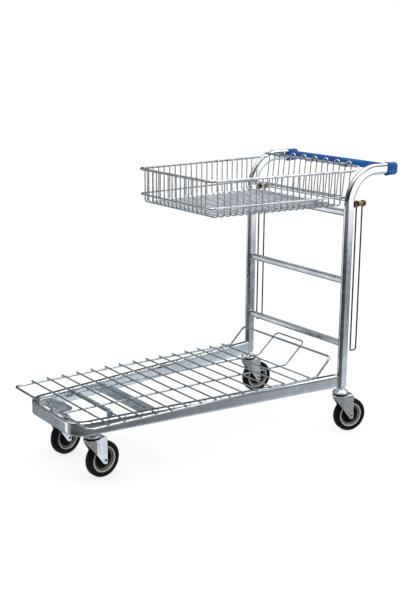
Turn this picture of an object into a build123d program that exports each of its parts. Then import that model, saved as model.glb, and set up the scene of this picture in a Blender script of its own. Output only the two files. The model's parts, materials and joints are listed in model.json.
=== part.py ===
"""Nestable platform trolley.

Tube chassis, tilting wire deck, wire basket with a hinged flap, and four swivel casters.

Millimetres, +Z up, floor at Z = 0, +X is the way the trolley is pushed, +Y is its left side.
"""

import os

from build123d import *

os.makedirs("parts", exist_ok=True)

# ---- driving dimensions: overall layout ----
REAR_X = -415.0  # swivel axis of the rear casters; puts the footprint's middle on the origin
WHEELBASE = 971.0
FRONT_X = REAR_X + WHEELBASE
REAR_TRACK = 542.0
FRONT_TRACK = 239.0
CHASSIS_BOTTOM_Z = 174.0

# ---- chassis: one rectangular tube bent to a tapering U ----
RAIL_HEIGHT = 47.0
RAIL_WIDTH = 26.0
RAIL_WALL = 2.0
RAIL_EDGE_RADIUS = 6.0
RAIL_REAR_X = REAR_X + 19.0
RAIL_REAR_Y = 261.0
NOSE_X = REAR_X + 1049.7
NOSE_Y = 150.4
NOSE_BEND_RADIUS = 50.0
CHASSIS_TOP_Z = CHASSIS_BOTTOM_Z + RAIL_HEIGHT
RAIL_MID_Z = CHASSIS_BOTTOM_Z + RAIL_HEIGHT / 2
RAIL_TAPER = (RAIL_REAR_Y - NOSE_Y) / (NOSE_X - RAIL_REAR_X)

# ---- uprights and ladder bars ----
UPRIGHT_X = REAR_X - 3.0
UPRIGHT_Y = REAR_TRACK / 2
UPRIGHT_DEPTH = 40.0
UPRIGHT_WIDTH = 22.0
UPRIGHT_WALL = 1.8
UPRIGHT_TOP_Z = 967.0
UPRIGHT_BEND_RADIUS = 120.0
UPRIGHT_END_X = REAR_X - 222.0
BAR_HEIGHT = 25.0
BAR_DEPTH = 15.0
BAR_WALL = 1.5
BAR_Z = {"low_crossbar": 338.0, "mid_crossbar": 573.0, "top_crossbar": 819.0}
UPRIGHT_INNER_Y = UPRIGHT_Y - UPRIGHT_WIDTH / 2

# ---- handle ----
CAP_HEIGHT = 46.0
CAP_WIDTH = 28.0
CAP_Z = 964.5
CAP_NOSE_RADIUS = 13.5
CAP_LIP = 1.5
CAP_LIP_LENGTH = 5.0
CAP_FRONT_X = REAR_X - 180.0
CAP_REAR_X = REAR_X - 233.0
HANDLE_X = REAR_X - 206.0
HANDLE_RADIUS = 13.5
CAP_INNER_Y = UPRIGHT_Y - CAP_WIDTH / 2

# ---- cross members of the chassis ----
PLATE_X = REAR_X + 743.0
PLATE_LENGTH = 66.0
PLATE_Z = 188.0
PLATE_THICK = 3.0
PLATE_RIBS = 4
STRAP_X = REAR_X + 908.0
STRAP_WIDTH = 20.0
STRAP_THICK = 4.0
STRAP_HALF = 132.0
STRAP_TOP_Z = 229.2
STRAP_FOOT_Z = 204.0
MOUNT_PLATE_THICK = 6.0
MOUNT_PLATE_REAR_X = REAR_X + 925.0
MOUNT_PLATE_FRONT_X = NOSE_X - RAIL_WIDTH / 2 - 0.2
MOUNT_PLATE_INNER_Y = 78.0

# ---- deck ----
DECK_WIRE_RADIUS = 4.0
DECK_HALF = 253.0
DECK_FRONT_X = REAR_X + 1058.5
DECK_FRONT_Z = 234.6
DECK_RAMP_X = REAR_X + 107.0
DECK_REAR_Z = CHASSIS_TOP_Z + DECK_WIRE_RADIUS + 0.3
DECK_CORNER_RADIUS = 16.0
RAMP_TOP_X = REAR_X + 39.5
RAMP_TOP_Z = 290.4
INNER_WIRE_RADIUS = 3.0
INNER_HALF = 79.0
INNER_RAMP_X = REAR_X + 103.4
INNER_TOP_X = REAR_X + 14.5
INNER_TOP_Z = 302.5
CROSS_WIRE_RADIUS = 2.75
CROSS_WIRE_HALF = 261.0
CROSS_WIRE_COUNT = 15
CROSS_WIRE_FIRST_X = REAR_X + 989.0
CROSS_WIRE_PITCH = 60.2
RAMP_STUB_LENGTH = 24.0
DECK_SLOPE = (DECK_FRONT_Z - DECK_REAR_Z) / (DECK_FRONT_X - DECK_RAMP_X)
CLIP_Y = 46.0
CLIP_LENGTH = 34.0
CLIP_WALL = 3.0
RUNNING_CLEARANCE = 0.08

# ---- basket ----
RIM_RADIUS = 4.5
RIM_Z = 966.0
RIM_FRONT_X = REAR_X + 568.0
RIM_FRONT_HALF = 212.0
RIM_REAR_X = REAR_X - 58.0
RIM_REAR_Z = 979.0
RIM_REAR_HALF = 261.8
RIM_RISE_X = REAR_X - 28.0
RIM_CORNER_RADIUS = 30.0
RIM_REAR_CORNER_RADIUS = 9.0
RIM_TAPER = (RIM_REAR_HALF - RIM_FRONT_HALF) / (RIM_FRONT_X - RIM_REAR_X)
GRID_RADIUS = 2.5
GRID_INSET = RIM_RADIUS + GRID_RADIUS
BELT_RADIUS = 3.25
BELT_Z = 877.0
BELT_OUTSET = BELT_RADIUS + GRID_RADIUS - GRID_INSET
BELT_DIP_X = REAR_X - 8.0
BELT_REAR_X = REAR_X - 46.0
BELT_REAR_Z = 861.0
BELT_REAR_HALF = 248.0
BELT_REAR_CORNER_RADIUS = 10.0
FLOOR_CROSS_Z = 844.0
FLOOR_LONG_Z = FLOOR_CROSS_Z + 2 * GRID_RADIUS
GRID_BEND = 14.0
GRID_TURN_UP = GRID_BEND + 1.0
GRID_TOP_Z = RIM_Z + 3.0
SIDE_WIRE_COUNT = 21
SIDE_WIRE_FIRST_X = REAR_X + 20.0
SIDE_WIRE_PITCH = 25.6
FRONT_WIRE_COUNT = 16
FRONT_WIRE_PITCH = 24.0

# ---- nesting flap at the back of the basket ----
FLAP_WIRE_RADIUS = 2.25
FLAP_OFFSET = 7.1
FLAP_RISE = 15.0
FLAP_DROP = 128.0
HAIRPIN_WIDTH = 30.0
HAIRPIN_COUNT = 8
HAIRPIN_PITCH = 60.0
FLAP_CROSS_DROPS = (112.0, 126.0)
FLAP_WELD_SINK = 0.5
FLAP_SLEEVE_RADIUS = 7.5
FLAP_SLEEVE_LENGTH = 34.0
FLAP_SLEEVE_Y = (-180.0, 0.0, 180.0)

# ---- swing bails behind the uprights ----
BAIL_PIVOT_Z = 850.0
BAIL_FOOT_Z = 306.0
BAIL_WIRE_RADIUS = 2.75
BAIL_FRONT_X = REAR_X - 40.0
BAIL_REAR_X = REAR_X - 68.0
BAIL_CORNER_RADIUS = 7.0
BAIL_BOLT_RADIUS = 6.5
BAIL_FLANGE_RADIUS = 13.5
BAIL_FLANGE_THICK = 8.0
BAIL_SPACER_RADIUS = 9.5
BAIL_NUT_RADIUS = 11.0
BAIL_EYE_RADIUS = BAIL_BOLT_RADIUS + RUNNING_CLEARANCE + BAIL_WIRE_RADIUS
UPRIGHT_REAR_X = UPRIGHT_X - UPRIGHT_DEPTH / 2

# ---- casters ----
WHEEL_RADIUS = 62.5
TYRE_WIDTH = 30.0
TYRE_INNER_RADIUS = 45.0
HUB_WIDTH = 25.0
HUB_WEB = 8.0
BOSS_RADIUS = 12.0
BOSS_WIDTH = 33.0
AXLE_RADIUS = 5.0
TRAIL = 40.7
FORK_INNER = 18.5
FORK_THICK = 3.0
CROWN_Z = 140.0
CROWN_THICK = 4.0
CROWN_RADIUS = 29.0
CROWN_NOSE_X = 32.0
FORK_SHOULDER_X = -6.0
FORK_NOSE_RADIUS = 9.0
CROWN_REAR_X = -47.0
FORK_FOOT_RADIUS = 13.5
FORK_RIB_X = -17.0
FORK_RIB_HEIGHT = 1.6
RIVET_HEAD_RADIUS = 7.0
RIVET_HEAD_THICK = 2.0
RIVET_HOLE_RADIUS = 3.4
RACE_RADIUS = 26.0
RACE_TOP_Z = 150.0
HEAD_BOTTOM_Z = 152.5
KINGPIN_RADIUS = 5.0
KINGPIN_HEAD_RADIUS = 9.0
KINGPIN_TOP_Z = 190.0
CASTERS = {
    # name: (swivel x, swivel y, angle the wheel trails at, in degrees from straight back)
    "left_rear": (REAR_X, REAR_TRACK / 2, -13.0),
    "right_rear": (REAR_X, -REAR_TRACK / 2, -6.1),
    "left_front": (FRONT_X, FRONT_TRACK / 2, 5.5),
    "right_front": (FRONT_X, -FRONT_TRACK / 2, 12.2),
}


def save(part, name):
    """Label one sub-part and write it as its own STEP file."""
    part.label = name
    export_step(part, f"parts/{name}.step")


def rail_y(x):
    """Centre line of the left rail at a station along the chassis."""
    return RAIL_REAR_Y - RAIL_TAPER * (x - RAIL_REAR_X)


def deck_z(x):
    """Height of the deck's outer wire, which falls slightly towards the back."""
    return DECK_REAR_Z + DECK_SLOPE * (x - DECK_RAMP_X)


def rim_half(x):
    """Half-width of the basket's rim, which narrows towards the front."""
    return RIM_REAR_HALF - RIM_TAPER * (x - RIM_REAR_X)


def moved_plane(frame, plane):
    """A plane given in a caster's own axes, carried to where that caster stands."""
    return Plane(frame * plane.location)


def normal_plane(origin, direction, x_dir=(0, 0, 1)):
    """The plane square to a path at its start."""
    return Plane(origin=origin, x_dir=x_dir, z_dir=direction)


def wire_section(path, radius, x_dir=(0, 0, 1)):
    """Round section of a wire, square to the start of its path."""
    with BuildSketch(normal_plane(path.line @ 0, path.line % 0, x_dir)) as section:
        Circle(radius)
    return section.sketch


# ---- chassis ----
def build_base_frame():
    with BuildPart() as base_frame:
        with BuildLine(Plane.XY.offset(RAIL_MID_Z)) as path:
            FilletPolyline(
                (RAIL_REAR_X, RAIL_REAR_Y),
                (NOSE_X, NOSE_Y),
                (NOSE_X, -NOSE_Y),
                (RAIL_REAR_X, -RAIL_REAR_Y),
                radius=NOSE_BEND_RADIUS,
            )
        with BuildSketch(normal_plane(path.line @ 0, path.line % 0)):
            RectangleRounded(RAIL_HEIGHT, RAIL_WIDTH, RAIL_EDGE_RADIUS)
            RectangleRounded(
                RAIL_HEIGHT - 2 * RAIL_WALL,
                RAIL_WIDTH - 2 * RAIL_WALL,
                RAIL_EDGE_RADIUS - RAIL_WALL,
                mode=Mode.SUBTRACT,
            )
        sweep()
    save(base_frame.part, "base_frame")


def build_cross_plate():
    """Ribbed steel plate welded between the rails at half their height."""
    front_x = PLATE_X + PLATE_LENGTH / 2
    rear_x = PLATE_X - PLATE_LENGTH / 2
    front_y = rail_y(front_x) - RAIL_WIDTH / 2 - 0.3
    rear_y = rail_y(rear_x) - RAIL_WIDTH / 2 - 0.3
    rib_pitch = PLATE_LENGTH / (PLATE_RIBS + 1)
    with BuildPart() as cross_plate:
        with BuildSketch(Plane.XY.offset(PLATE_Z)):
            Polygon(
                (rear_x, -rear_y),
                (front_x, -front_y),
                (front_x, front_y),
                (rear_x, rear_y),
                align=None,
            )
        extrude(amount=PLATE_THICK)
        with BuildSketch(Plane.XZ):
            for i in range(PLATE_RIBS):
                with Locations((rear_x + rib_pitch * (i + 1), PLATE_Z + PLATE_THICK)):
                    Circle(1.5)
        extrude(amount=front_y - 1.0, both=True)
    save(cross_plate.part, "cross_plate")


def build_support_strap():
    """Flat bar bridging the rails under the deck, its bent ends welded to brackets on the rails."""
    bracket_y = rail_y(STRAP_X + STRAP_WIDTH / 2) - RAIL_WIDTH / 2 - 0.3
    with BuildPart() as support_strap:
        with BuildSketch(Plane.YZ.offset(STRAP_X - STRAP_WIDTH / 2)):
            with BuildLine():
                FilletPolyline(
                    (-bracket_y, STRAP_FOOT_Z),
                    (-STRAP_HALF, STRAP_FOOT_Z),
                    (-STRAP_HALF, STRAP_TOP_Z),
                    (STRAP_HALF, STRAP_TOP_Z),
                    (STRAP_HALF, STRAP_FOOT_Z),
                    (bracket_y, STRAP_FOOT_Z),
                    radius=7.0,
                )
                offset(amount=STRAP_THICK, side=Side.RIGHT)
            make_face()
        extrude(amount=STRAP_WIDTH)
    save(support_strap.part, "support_strap")


def build_front_caster_plates():
    """Plates welded into the nose corners; each carries one front caster."""
    with BuildPart() as front_caster_plates:
        for side in (1, -1):
            rear_y = rail_y(MOUNT_PLATE_REAR_X) - RAIL_WIDTH / 2 - 0.3
            bend_x = NOSE_X - NOSE_BEND_RADIUS
            bend_y = rail_y(bend_x) - RAIL_WIDTH / 2 - 0.3
            with BuildSketch(Plane.XY.offset(CHASSIS_BOTTOM_Z)):
                Polygon(
                    (MOUNT_PLATE_REAR_X, side * rear_y),
                    (bend_x, side * bend_y),
                    (MOUNT_PLATE_FRONT_X, side * (NOSE_Y - NOSE_BEND_RADIUS)),
                    (MOUNT_PLATE_FRONT_X, side * MOUNT_PLATE_INNER_Y),
                    (MOUNT_PLATE_REAR_X + 12.0, side * MOUNT_PLATE_INNER_Y),
                    (MOUNT_PLATE_REAR_X, side * (MOUNT_PLATE_INNER_Y + 12.0)),
                    align=None,
                )
                with Locations((FRONT_X, side * FRONT_TRACK / 2)):
                    Circle(KINGPIN_RADIUS, mode=Mode.SUBTRACT)
            extrude(amount=MOUNT_PLATE_THICK)
    save(front_caster_plates.part, "front_caster_plates")


def build_deck_clips():
    """Two saddles on the nose tube; the deck's front wire turns in them."""
    inner = DECK_WIRE_RADIUS + RUNNING_CLEARANCE
    outer = DECK_WIRE_RADIUS + CLIP_WALL
    foot = CHASSIS_TOP_Z + 0.05
    with BuildPart() as deck_clips:
        for side in (1, -1):
            start = side * CLIP_Y - CLIP_LENGTH / 2
            with BuildSketch(Plane.XZ.offset(-start - CLIP_LENGTH)):
                with Locations((DECK_FRONT_X, DECK_FRONT_Z)):
                    Circle(outer)
                Polygon(
                    (DECK_FRONT_X - outer - 14.0, foot),
                    (DECK_FRONT_X + 1.5, foot),
                    (DECK_FRONT_X + outer - 1.0, DECK_FRONT_Z - 2.0),
                    (DECK_FRONT_X - outer, DECK_FRONT_Z),
                    (DECK_FRONT_X - outer - 14.0, foot + 3.0),
                    align=None,
                )
                with Locations((DECK_FRONT_X, DECK_FRONT_Z)):
                    Circle(inner, mode=Mode.SUBTRACT)
            extrude(amount=CLIP_LENGTH)
    save(deck_clips.part, "deck_clips")


# ---- uprights, bars and handle ----
def build_upright(name, side):
    with BuildPart() as upright:
        with BuildLine(Plane.XZ.offset(-side * UPRIGHT_Y)) as path:
            FilletPolyline(
                (UPRIGHT_X, CHASSIS_BOTTOM_Z),
                (UPRIGHT_X, UPRIGHT_TOP_Z),
                (UPRIGHT_END_X, UPRIGHT_TOP_Z),
                radius=UPRIGHT_BEND_RADIUS,
            )
        with BuildSketch(normal_plane(path.line @ 0, path.line % 0, x_dir=(1, 0, 0))):
            SlotOverall(UPRIGHT_DEPTH, UPRIGHT_WIDTH)
            SlotOverall(
                UPRIGHT_DEPTH - 2 * UPRIGHT_WALL,
                UPRIGHT_WIDTH - 2 * UPRIGHT_WALL,
                mode=Mode.SUBTRACT,
            )
        sweep()
    save(upright.part, name)


def build_stem_plugs():
    """Blocks inside the feet of the uprights that take the rear casters' kingpins."""
    with BuildPart() as stem_plugs:
        with BuildSketch(Plane.XY.offset(CHASSIS_BOTTOM_Z)):
            for side in (1, -1):
                with Locations((UPRIGHT_X, side * UPRIGHT_Y)):
                    SlotOverall(
                        UPRIGHT_DEPTH - 2 * UPRIGHT_WALL - 0.2,
                        UPRIGHT_WIDTH - 2 * UPRIGHT_WALL - 0.2,
                    )
                with Locations((REAR_X, side * UPRIGHT_Y)):
                    Circle(KINGPIN_RADIUS, mode=Mode.SUBTRACT)
        extrude(amount=34.0)
    save(stem_plugs.part, "stem_plugs")


def build_crossbar(name, height):
    with BuildPart() as crossbar:
        with BuildSketch(Plane.XZ):
            with Locations((UPRIGHT_X, height)):
                SlotOverall(BAR_HEIGHT, BAR_DEPTH, rotation=90)
                SlotOverall(
                    BAR_HEIGHT - 2 * BAR_WALL,
                    BAR_DEPTH - 2 * BAR_WALL,
                    rotation=90,
                    mode=Mode.SUBTRACT,
                )
        extrude(amount=UPRIGHT_INNER_Y - 0.1, both=True)
    save(crossbar.part, name)


def build_handle_cap(name, side):
    """Moulded boot over the end of an upright; the handle bar springs from its inner face."""
    mouth = Plane(
        origin=(CAP_FRONT_X, side * UPRIGHT_Y, CAP_Z),
        x_dir=(0, 0, 1),
        z_dir=(-1, 0, 0),
    )
    socket = Plane(
        origin=(CAP_FRONT_X, side * UPRIGHT_Y, UPRIGHT_TOP_Z),
        x_dir=(0, 0, 1),
        z_dir=(-1, 0, 0),
    )
    with BuildPart() as handle_cap:
        with BuildSketch(mouth):
            SlotOverall(CAP_HEIGHT, CAP_WIDTH)
        extrude(amount=CAP_FRONT_X - CAP_REAR_X)
        fillet(handle_cap.edges().group_by(Axis.X)[0], radius=CAP_NOSE_RADIUS)
        with BuildSketch(mouth):
            SlotOverall(CAP_HEIGHT + 2 * CAP_LIP, CAP_WIDTH + 2 * CAP_LIP)
        extrude(amount=CAP_LIP_LENGTH)
        fillet(handle_cap.edges().group_by(Axis.X)[-1], radius=1.2)
        with BuildSketch(socket):
            SlotOverall(UPRIGHT_DEPTH + 0.1, UPRIGHT_WIDTH + 0.1)
        extrude(amount=CAP_FRONT_X - UPRIGHT_END_X + 0.3, mode=Mode.SUBTRACT)
    save(handle_cap.part, name)


def build_handle_bar():
    with BuildPart() as handle_bar:
        with BuildSketch(Plane.XZ):
            with Locations((HANDLE_X, UPRIGHT_TOP_Z)):
                Circle(HANDLE_RADIUS)
                Circle(HANDLE_RADIUS - 3.0, mode=Mode.SUBTRACT)
        extrude(amount=CAP_INNER_Y - 0.1, both=True)
    save(handle_bar.part, "handle_bar")


# ---- deck ----
def build_deck_ramp(name, radius, half, foot_x, top_x, top_z):
    """Wire that leaves the deck, slopes up at the back and crosses to the other side."""
    lift = DECK_WIRE_RADIUS - radius
    stub_x = DECK_RAMP_X + RAMP_STUB_LENGTH
    with BuildPart() as ramp:
        with BuildLine() as path:
            FilletPolyline(
                (stub_x, half, deck_z(stub_x) + lift),
                (foot_x, half, DECK_REAR_Z + lift),
                (top_x, half, top_z),
                (top_x, -half, top_z),
                (foot_x, -half, DECK_REAR_Z + lift),
                (stub_x, -half, deck_z(stub_x) + lift),
                radius=DECK_CORNER_RADIUS,
            )
        sweep(wire_section(path, radius), path=path.line)
    save(ramp.part, name)


def build_deck_edge():
    """Front and side wire of the deck, up to where it bends into the outer ramp."""
    stub_x = DECK_RAMP_X + RAMP_STUB_LENGTH
    with BuildPart() as deck_edge:
        with BuildLine() as path:
            FilletPolyline(
                (stub_x, DECK_HALF, deck_z(stub_x)),
                (DECK_FRONT_X, DECK_HALF, DECK_FRONT_Z),
                (DECK_FRONT_X, -DECK_HALF, DECK_FRONT_Z),
                (stub_x, -DECK_HALF, deck_z(stub_x)),
                radius=DECK_CORNER_RADIUS,
            )
        sweep(wire_section(path, DECK_WIRE_RADIUS), path=path.line)
    save(deck_edge.part, "deck_edge")


def build_deck_inner_wires():
    """Two lengthways wires inside the deck, up to where they bend into the inner ramp."""
    lift = DECK_WIRE_RADIUS - INNER_WIRE_RADIUS
    stub_x = DECK_RAMP_X + RAMP_STUB_LENGTH
    front_x = DECK_FRONT_X - DECK_WIRE_RADIUS
    with BuildPart() as deck_inner_wires:
        for side in (1, -1):
            with BuildLine() as path:
                Line(
                    (front_x, side * INNER_HALF, deck_z(front_x) + lift),
                    (stub_x, side * INNER_HALF, deck_z(stub_x) + lift),
                )
            sweep(wire_section(path, INNER_WIRE_RADIUS), path=path.line)
    save(deck_inner_wires.part, "deck_inner_wires")


def build_deck_cross_wires():
    """Straight wires across the deck, welded on top of the lengthways ones."""
    with BuildPart() as deck_cross_wires:
        with BuildSketch(Plane.XZ):
            for i in range(CROSS_WIRE_COUNT):
                x = CROSS_WIRE_FIRST_X - i * CROSS_WIRE_PITCH
                with Locations((x, deck_z(x) + DECK_WIRE_RADIUS + CROSS_WIRE_RADIUS)):
                    Circle(CROSS_WIRE_RADIUS)
        extrude(amount=CROSS_WIRE_HALF, both=True)
    save(deck_cross_wires.part, "deck_cross_wires")


# ---- basket ----
def build_basket_rim():
    """Top wire of the basket; behind the uprights it rises to carry the flap."""
    with BuildPart() as basket_rim:
        with BuildLine() as path:
            FilletPolyline(
                (RIM_FRONT_X, 0, RIM_Z),
                (RIM_FRONT_X, RIM_FRONT_HALF, RIM_Z),
                (RIM_RISE_X, rim_half(RIM_RISE_X), RIM_Z),
                (RIM_REAR_X, RIM_REAR_HALF, RIM_REAR_Z),
                (RIM_REAR_X, -RIM_REAR_HALF, RIM_REAR_Z),
                (RIM_RISE_X, -rim_half(RIM_RISE_X), RIM_Z),
                (RIM_FRONT_X, -RIM_FRONT_HALF, RIM_Z),
                radius=[0, RIM_CORNER_RADIUS] + 4 * [RIM_REAR_CORNER_RADIUS] + [RIM_CORNER_RADIUS],
                close=True,
            )
        sweep(wire_section(path, RIM_RADIUS), path=path.line)
    save(basket_rim.part, "basket_rim")


def build_basket_belt():
    """Wire belt round the basket; behind the uprights it dips to make the flap's rest bar."""
    front_half = RIM_FRONT_HALF + BELT_OUTSET
    dip_half = UPRIGHT_INNER_Y - BELT_RADIUS
    corner = RIM_CORNER_RADIUS + BELT_OUTSET
    with BuildPart() as basket_belt:
        with BuildLine() as path:
            FilletPolyline(
                (RIM_FRONT_X + BELT_OUTSET, 0, BELT_Z),
                (RIM_FRONT_X + BELT_OUTSET, front_half, BELT_Z),
                (BELT_DIP_X, dip_half, BELT_Z),
                (BELT_REAR_X, BELT_REAR_HALF, BELT_REAR_Z),
                (BELT_REAR_X, -BELT_REAR_HALF, BELT_REAR_Z),
                (BELT_DIP_X, -dip_half, BELT_Z),
                (RIM_FRONT_X + BELT_OUTSET, -front_half, BELT_Z),
                radius=[0, corner] + 4 * [BELT_REAR_CORNER_RADIUS] + [corner],
                close=True,
            )
        sweep(wire_section(path, BELT_RADIUS), path=path.line)
    save(basket_belt.part, "basket_belt")


def side_wire_x(i):
    return SIDE_WIRE_FIRST_X + i * SIDE_WIRE_PITCH


def front_wire_y(i):
    return (i - (FRONT_WIRE_COUNT - 1) / 2) * FRONT_WIRE_PITCH


def build_basket_side(name, side):
    """Upright wires of one long side, straight up from the turned-up ends of the floor wires."""
    foot_z = FLOOR_CROSS_Z + GRID_TURN_UP
    with BuildPart() as basket_side:
        with BuildSketch(Plane.XY.offset(foot_z)):
            for i in range(SIDE_WIRE_COUNT):
                x = side_wire_x(i)
                with Locations((x, side * (rim_half(x) - GRID_INSET))):
                    Circle(GRID_RADIUS)
        extrude(amount=GRID_TOP_Z - foot_z)
    save(basket_side.part, name)


def build_basket_front():
    """Upright wires of the front, straight up from the turned-up ends of the floor wires."""
    foot_z = FLOOR_LONG_Z + GRID_TURN_UP
    with BuildPart() as basket_front:
        with BuildSketch(Plane.XY.offset(foot_z)):
            for i in range(FRONT_WIRE_COUNT):
                with Locations((RIM_FRONT_X - GRID_INSET, front_wire_y(i))):
                    Circle(GRID_RADIUS)
        extrude(amount=GRID_TOP_Z - foot_z)
    save(basket_front.part, "basket_front")


def build_basket_floor_cross():
    """Floor wires across the basket, each turned up at both ends to meet the side wires."""
    with BuildPart() as basket_floor_cross:
        for i in range(SIDE_WIRE_COUNT):
            x = side_wire_x(i)
            half = rim_half(x) - GRID_INSET
            with BuildLine(Plane.YZ.offset(x)) as path:
                FilletPolyline(
                    (half, FLOOR_CROSS_Z + GRID_TURN_UP),
                    (half, FLOOR_CROSS_Z),
                    (-half, FLOOR_CROSS_Z),
                    (-half, FLOOR_CROSS_Z + GRID_TURN_UP),
                    radius=GRID_BEND,
                )
            sweep(wire_section(path, GRID_RADIUS, x_dir=(1, 0, 0)), path=path.line)
    save(basket_floor_cross.part, "basket_floor_cross")


def build_basket_floor_long():
    """Lengthways floor wires on top of the others, turned up at the front."""
    front_x = RIM_FRONT_X - GRID_INSET
    with BuildPart() as basket_floor_long:
        for i in range(FRONT_WIRE_COUNT):
            with BuildLine(Plane.XZ.offset(-front_wire_y(i))) as path:
                FilletPolyline(
                    (SIDE_WIRE_FIRST_X - 6.0, FLOOR_LONG_Z),
                    (front_x, FLOOR_LONG_Z),
                    (front_x, FLOOR_LONG_Z + GRID_TURN_UP),
                    radius=GRID_BEND,
                )
            sweep(wire_section(path, GRID_RADIUS, x_dir=(0, 1, 0)), path=path.line)
    save(basket_floor_long.part, "basket_floor_long")


def build_basket_flap():
    """Hairpin-wire flap hinged on the rim's rear wire; its foot leans on the belt's rear bar."""
    fall = RIM_REAR_Z - BELT_REAR_Z
    run = BELT_REAR_X + BELT_RADIUS + FLAP_WIRE_RADIUS + 0.4 - RIM_REAR_X - FLAP_OFFSET
    lean = Plane(
        origin=(RIM_REAR_X, 0, RIM_REAR_Z),
        x_dir=(0, 1, 0),
        z_dir=Vector(fall, 0, run).normalized(),
    )
    pin_radius = RIM_RADIUS + RUNNING_CLEARANCE
    half = (HAIRPIN_COUNT - 1) / 2 * HAIRPIN_PITCH + HAIRPIN_WIDTH / 2
    with BuildPart() as basket_flap:
        for i in range(HAIRPIN_COUNT):
            y = (i - (HAIRPIN_COUNT - 1) / 2) * HAIRPIN_PITCH
            with BuildLine(lean.offset(FLAP_OFFSET)) as path:
                FilletPolyline(
                    (y - HAIRPIN_WIDTH / 2, -FLAP_DROP),
                    (y - HAIRPIN_WIDTH / 2, FLAP_RISE),
                    (y + HAIRPIN_WIDTH / 2, FLAP_RISE),
                    (y + HAIRPIN_WIDTH / 2, -FLAP_DROP),
                    radius=HAIRPIN_WIDTH / 2 - 0.2,
                )
            sweep(wire_section(path, FLAP_WIRE_RADIUS, x_dir=(0, 1, 0)), path=path.line)
        for drop in FLAP_CROSS_DROPS:
            start = lean.from_local_coords(
                Vector(-half - 4.0, -drop, FLAP_OFFSET + 2 * FLAP_WIRE_RADIUS - FLAP_WELD_SINK)
            )
            with BuildSketch(Plane(origin=start, x_dir=(1, 0, 0), z_dir=(0, 1, 0))):
                Circle(FLAP_WIRE_RADIUS)
            extrude(amount=2 * half + 8.0)
        for y in FLAP_SLEEVE_Y:
            with BuildSketch(Plane.XZ.offset(-y - FLAP_SLEEVE_LENGTH / 2)):
                with Locations((RIM_REAR_X, RIM_REAR_Z)):
                    Circle(FLAP_SLEEVE_RADIUS)
            extrude(amount=FLAP_SLEEVE_LENGTH)
        with BuildSketch(Plane.XZ):
            with Locations((RIM_REAR_X, RIM_REAR_Z)):
                Circle(pin_radius)
        extrude(amount=RIM_REAR_HALF, both=True, mode=Mode.SUBTRACT)
    save(basket_flap.part, "basket_flap")


# ---- swing bails ----
def build_bail(name, side):
    """Long U of wire with an eye at each end, hung on a bolt behind the upright."""
    y = side * UPRIGHT_Y
    with BuildPart() as bail:
        with BuildLine(Plane.XZ.offset(-y)) as path:
            FilletPolyline(
                (BAIL_FRONT_X, BAIL_PIVOT_Z - BAIL_EYE_RADIUS),
                (BAIL_FRONT_X, BAIL_FOOT_Z),
                (BAIL_REAR_X, BAIL_FOOT_Z),
                (BAIL_REAR_X, BAIL_PIVOT_Z - BAIL_EYE_RADIUS),
                radius=BAIL_CORNER_RADIUS,
            )
        with BuildSketch(normal_plane(path.line @ 0, path.line % 0, x_dir=(1, 0, 0))):
            Circle(BAIL_WIRE_RADIUS)
        sweep()
        for x in (BAIL_FRONT_X, BAIL_REAR_X):
            with Locations(Location((x, y, BAIL_PIVOT_Z), (0, 90, 0))):
                Torus(BAIL_EYE_RADIUS, BAIL_WIRE_RADIUS)
    save(bail.part, name)


def build_bail_bolts():
    """Flanged studs that stand out of the back of the uprights."""
    tip_x = BAIL_REAR_X - 10.0
    with BuildPart() as bail_bolts:
        for side in (1, -1):
            face = Plane(
                origin=(UPRIGHT_REAR_X - 1.0, side * UPRIGHT_Y, BAIL_PIVOT_Z),
                x_dir=(0, 1, 0),
                z_dir=(-1, 0, 0),
            )
            with BuildSketch(face):
                Circle(BAIL_FLANGE_RADIUS)
            extrude(amount=BAIL_FLANGE_THICK, taper=12)
            with BuildSketch(face):
                Circle(BAIL_BOLT_RADIUS)
            extrude(amount=UPRIGHT_REAR_X - 1.0 - tip_x)
    save(bail_bolts.part, "bail_bolts")


def build_bail_spacers():
    """Tubes on the studs that hold each bail's two eyes apart."""
    start_x = BAIL_FRONT_X - BAIL_WIRE_RADIUS - 0.4
    end_x = BAIL_REAR_X + BAIL_WIRE_RADIUS + 0.4
    with BuildPart() as bail_spacers:
        for side in (1, -1):
            with BuildSketch(
                Plane(origin=(start_x, side * UPRIGHT_Y, BAIL_PIVOT_Z), x_dir=(0, 1, 0), z_dir=(-1, 0, 0))
            ):
                Circle(BAIL_SPACER_RADIUS)
                Circle(BAIL_BOLT_RADIUS, mode=Mode.SUBTRACT)
            extrude(amount=start_x - end_x)
    save(bail_spacers.part, "bail_spacers")


def build_bail_nuts():
    """Domed nuts on the ends of the studs."""
    start_x = BAIL_REAR_X - BAIL_WIRE_RADIUS - 0.4
    with BuildPart() as bail_nuts:
        for side in (1, -1):
            with BuildSketch(
                Plane(origin=(start_x, side * UPRIGHT_Y, BAIL_PIVOT_Z), x_dir=(0, 1, 0), z_dir=(-1, 0, 0))
            ):
                Circle(BAIL_NUT_RADIUS)
            extrude(amount=11.0)
        fillet(bail_nuts.edges().group_by(Axis.X)[0], radius=6.0)
        for side in (1, -1):
            with BuildSketch(
                Plane(origin=(start_x, side * UPRIGHT_Y, BAIL_PIVOT_Z), x_dir=(0, 1, 0), z_dir=(-1, 0, 0))
            ):
                Circle(BAIL_BOLT_RADIUS)
            extrude(amount=start_x - BAIL_REAR_X + 10.1, mode=Mode.SUBTRACT)
    save(bail_nuts.part, "bail_nuts")


# ---- casters ----
def caster_frame(x, y, angle):
    """Axes of one caster: its swivel axis on the floor, its -X the way the wheel trails."""
    return Location((x, y, 0), (0, 0, angle))


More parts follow.
